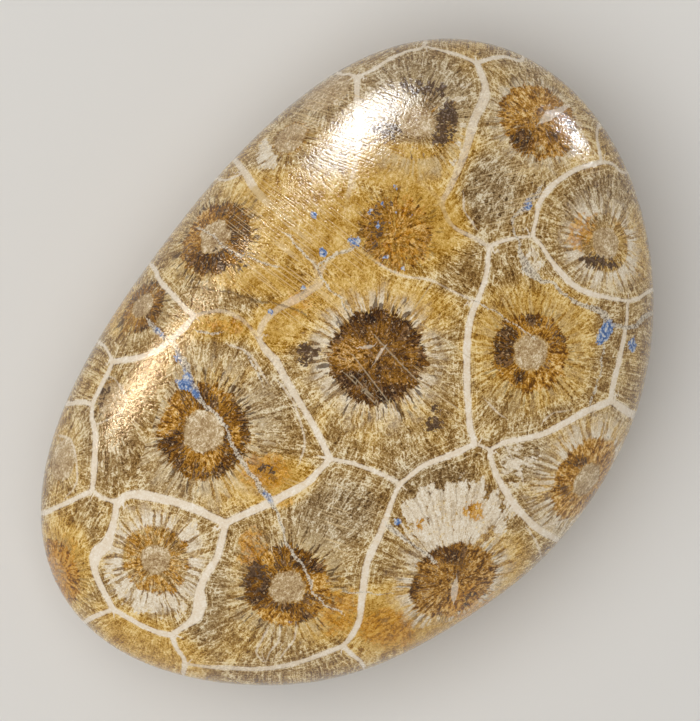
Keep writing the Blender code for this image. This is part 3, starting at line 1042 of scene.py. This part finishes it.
gold_amount = times(in_ring, rise(plus(tone_orange, swing(patch, 1.4), swing(grain, 0.8)), 0.15, 0.5))
density = plus(
    0.14,
    tone_dark,
    shade_dark,
    times(shade_gold, -1.0),
    swing(sector, 1.4),
    swing(patch, 1.2),
    rise(out, 0.7, 1.0, 0.0, 0.15),
)
density = calc("MINIMUM", density, 0.88)
specks = plus(swing(grain, 1.6), swing(fine, 1.0), swing(dust, 0.3), swing(tooth, 4.2))
browner = plus(rise(density, 0.2, 1.0, 0.0, 0.4), times(brown_core, 0.55))
surface = over(gold_amount, surface, over(browner, gold_ring, brown_ring))
surface = over(times(in_ring, rise(plus(density, specks), 0.66, 0.78), 0.96), surface, dark_ring)
sparks = times(in_ring, rise(fine, 0.6, 0.68), rise(hair, 0.45, 0.55), 0.55)
surface = over(sparks, surface, colour((236, 212, 166)))

# %% Cores
in_core = rise(calc("SUBTRACT", out, core_edge), 0.04, -0.04)
core_grain = plus(0.5, swing(dust, 0.8), swing(fine, 1.2), swing(grain, 0.6), swing(lump, 1.4))
grey_core = ramp(core_grain, (0.0, (134, 104, 70)), (0.5, (193, 168, 127)), (1.0, (240, 226, 198)))
surface = over(in_core, surface, over(brown_core, grey_core, brown_ring))

# %% Stains
def stained(stain, departure, start, end, fade=0.1):
    """A stain with a ragged edge, which still stays within its blob."""
    return times(rise(plus(stain, *departure), start, end), rise(stain, 0.0, fade))


ragged = plus(swing(grain, 2.2), swing(lump, 1.8), swing(fine, 1.4))
rust = ramp(plus(0.5, blotch), (0.0, (112, 66, 18)), (0.5, (190, 130, 46)), (1.0, (226, 180, 100)))
chalky = (times(crisp(ray, 0.08), 0.14), swing(lump, 2.6), swing(patch, 1.6), rise(out, 1.5, 1.0, 0.0, -0.25))
chalk_amount = times(stained(stain_white, chalky, 0.35, 0.6), rise(ring_gap, -0.03, 0.05))
holes = rise(plus(stain_orange, ragged), 0.5, 0.35)
chalk_amount = times(chalk_amount, rise(ray, 0.40, 0.50, 0.65, 1.0), holes)
surface = over(chalk_amount, surface, white)
surface = over(times(stained(stain_orange, (ragged,), 0.15, 0.6), 0.7), surface, rust)
sooty = plus(0.4, swing(fine, 1.5), swing(grain, 1.0))
black = ramp(sooty, (0.0, (40, 28, 18)), (0.6, (98, 76, 54)), (1.0, (162, 136, 104)))
surface = over(stained(stain_dark, (ragged, swing(tooth, 1.5)), 0.3, 0.5, 0.12), surface, black)

# %% Walls
wall_rough = plus(swing(lump, 0.35), swing(fine, 0.16))
wall_tone = plus(0.66, swing(dust, 0.4), swing(fine, 0.5), swing(grain, 0.5), swing(lump, 0.8))
cream = ramp(wall_tone, (0.0, (192, 170, 136)), (0.5, (235, 219, 193)), (1.0, (250, 242, 227)))
golden_cream = over(rise(stain_ochre, 0.75, 0.98), cream, colour((214, 188, 134)))
surface = over(times(line_mask("wall", 0.11, wall_rough), wall_strength), surface, golden_cream)
surface = over(times(line_mask("thin_line", 0.09, wall_rough), 0.6), surface, cream)

# %% Veins, specks, cracks and scratches
vein_rough = plus(swing(fine, 0.5), swing(grain, 0.4))
blue_grey = ramp(fine, (0.34, (72, 90, 132)), (0.50, (116, 140, 186)), (0.66, (210, 208, 202)))
in_blue = times(rise(blue_speck, 0.0, 0.3), rise(lump, 0.38, 0.46))
vein_tone = plus(0.5, swing(fine, 1.6), swing(dust, 1.2))
vein_grey = ramp(vein_tone, (0.0, (74, 60, 50)), (0.3, (150, 138, 122)), (0.6, (226, 216, 196)))
vein_colour = over(times(in_blue, 0.65), vein_grey, blue_grey)
surface = over(times(line_mask("vein", 0.07, vein_rough), 0.8), surface, vein_colour)
blue_amount = stained(blue_speck, (swing(grain, 1.6), swing(fine, 1.0)), 0.3, 0.5)
surface = over(blue_amount, surface, blue_grey)
surface = over(times(line_mask("crack", 0.06, vein_rough), 0.6), surface, colour((84, 64, 40)))
surface = over(times(line_mask("scratch", 0.06), 0.6), surface, colour((200, 184, 152)))

SCRATCH_LENGTH = 60.0
SCRATCH_GAP = 1.6
SCRATCH_FIELDS = ((38, 3.0), (20, 9.0), (-14, 15.0))


def scratch_field(turn, layer):
    """Faint parallel scratches, this many degrees below the picture's right: noise drawn out along them.
    Each field is cut from its own layer of the noise."""
    way = TO_STONE @ (np.cos(radians(turn)), np.sin(radians(turn)))
    along_it = times(vectors("DOT_PRODUCT", spot, (*way, 0.0)), 1 / SCRATCH_LENGTH)
    across_it = times(vectors("DOT_PRODUCT", spot, (-way[1], way[0], 0.0)), 1 / SCRATCH_GAP)
    return noise(triple(along_it, across_it, layer), 1.0, 1.0)


field_parts = [
    times(swing(scratch_field(*field)), strength) for field, strength in zip(SCRATCH_FIELDS, scratched)
]
fields = plus(*field_parts)
surface = over(rise(fields, 0.05, 0.13, 0.0, 0.55), surface, colour((232, 208, 162)))

# %% Polish
BUMP_HEIGHT = 0.03 * MM
roughness = plus(0.11, swing(grain, 0.1), rise(plus(fine, swing(lump, 0.5)), 0.56, 0.66, 0.0, 0.3))
height = plus(times(fields, 1.3), swing(lump, 1.2), swing(fine, 2.0), swing(comb, 0.6))
richer = node("HueSaturation", {"Hue": 0.496, "Saturation": 1.10, "Color": surface})
bump = node("Bump", {"Height": height, "Distance": BUMP_HEIGHT, "Strength": 0.6})
polish = {"Base Color": richer.outputs[0], "IOR": 1.55, "Roughness": roughness, "Normal": bump.outputs[0]}
shader = node("BsdfPrincipled", polish)
node("OutputMaterial", {"Surface": shader.outputs[0]})
mesh.materials.append(material)
print(len(nodes), "nodes in the stone's material")

# %% Hand the stone over
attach(stone, "root")
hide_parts(NODE)

# %% [markdown]
# ## The studio
# A pale floor, an even pale room, and soft boxes off to the sides. A polished dome shows a box wherever its
# surface bisects the way to the box and the way to the camera, so each box is placed from the spot where its
# gleam should fall. The boxes only gleam, and one large box overhead only lights, as in a studio where the
# gloss and the exposure are set apart.

# %% Floor
floor_mesh = bpy.data.meshes.new("floor")
floor_mesh.from_pydata([(-3, -3, 0), (3, -3, 0), (3, 3, 0), (-3, 3, 0)], [], [(0, 1, 2, 3)])  # metres
floor = bpy.data.objects.new("floor", floor_mesh)
bpy.context.scene.collection.objects.link(floor)
floor_material = bpy.data.materials.new("floor")
floor_material.use_nodes = True
paper = floor_material.node_tree.nodes["Principled BSDF"]
paper.inputs["Base Color"].default_value = colour((226, 224, 220))
paper.inputs["Roughness"].default_value = 0.9
floor_mesh.materials.append(floor_material)

# %% Camera
SENSOR = 36.0
camera_place = np.array([*camera_over, WAIST_HEIGHT + CAMERA_AWAY])
camera_data = bpy.data.cameras.new("camera")
camera_data.sensor_width = SENSOR
camera_data.lens = SENSOR * CAMERA_AWAY / (max(PICTURE_SIZE) * PICTURE_UNIT)
camera_data.clip_end = 10.0
camera = bpy.data.objects.new("camera", camera_data)
camera.location = camera_place * MM
camera.rotation_euler = (0, 0, -PICTURE_TURN)
bpy.context.scene.collection.objects.link(camera)
bpy.context.scene.camera = camera

# %% The room
ROOM_LIGHT = ((0.0, 0.45), (0.6, 0.35), (0.9, 0.2))  # (sine of the height above the floor, brightness)
room = bpy.data.worlds.new("room")
room.use_nodes = True
room_nodes = room.node_tree.nodes
room_links = room.node_tree.links
way_out = room_nodes.new("ShaderNodeTexCoord")
height_out = room_nodes.new("ShaderNodeSeparateXYZ")
ceiling = room_nodes.new("ShaderNodeValToRGB")
set_stops(ceiling.color_ramp, [(position, (level, level, level, 1.0)) for position, level in ROOM_LIGHT])
room_links.new(way_out.outputs["Generated"], height_out.inputs[0])
room_links.new(height_out.outputs["Z"], ceiling.inputs[0])
room_links.new(ceiling.outputs[0], room_nodes["Background"].inputs["Strength"])
room_nodes["Background"].inputs["Color"].default_value = (1.0, 0.98, 0.95, 1.0)
bpy.context.scene.world = room

# %% Light boxes
BOX_AWAY = 700.0


def light_box(name, size, power, location, way):
    """A light with its middle at a place in metres, that shines against the way given."""
    light_data = bpy.data.lights.new(name, "AREA")
    light_data.size, light_data.size_y = size
    light_data.energy = power
    light = bpy.data.objects.new(name, light_data)
    light.location = location
    light.rotation_euler = Vector(way).to_track_quat("Z", "Y").to_euler()
    bpy.context.scene.collection.objects.link(light)
    return light


def gleam_box(name, gleam, size, power, tint=(1.0, 1.0, 1.0)):
    """An oval light whose mirror image the camera sees at a picture spot. With the view turned round the
    surface's normal n, the way to the light is 2 (n . v) n - v."""
    spot = stone_points(np.array(gleam, float))
    n = normal[np.linalg.norm(place - spot, axis=1).argmin()]
    v = camera_place - spot
    v = v / np.linalg.norm(v)
    way = 2 * (n @ v) * n - v
    light = light_box(name, np.array(size) * MM, power, (spot + way * BOX_AWAY) * MM, way)
    light.data.shape = "ELLIPSE"
    light.data.color = tint
    light.visible_diffuse = False  # it only gleams
    print(f"{name} stands {np.degrees(np.arcsin(way[2])):.0f} degrees above the floor")


gleam_box("key_box", (362, 122), (290, 360), 6.5)
gleam_box("left_box", (137, 388), (190, 120), 2.2, (1.0, 0.72, 0.46))
gleam_box("right_box", (575, 135), (26, 50), 1.5)
overhead_place = (-0.2, 0.12, 1.0)
overhead_box = light_box("overhead_box", (1.0, 1.0), 8.0, overhead_place, overhead_place)
overhead_box.visible_glossy = False  # it only lights

bpy.context.scene.view_settings.view_transform = "Standard"
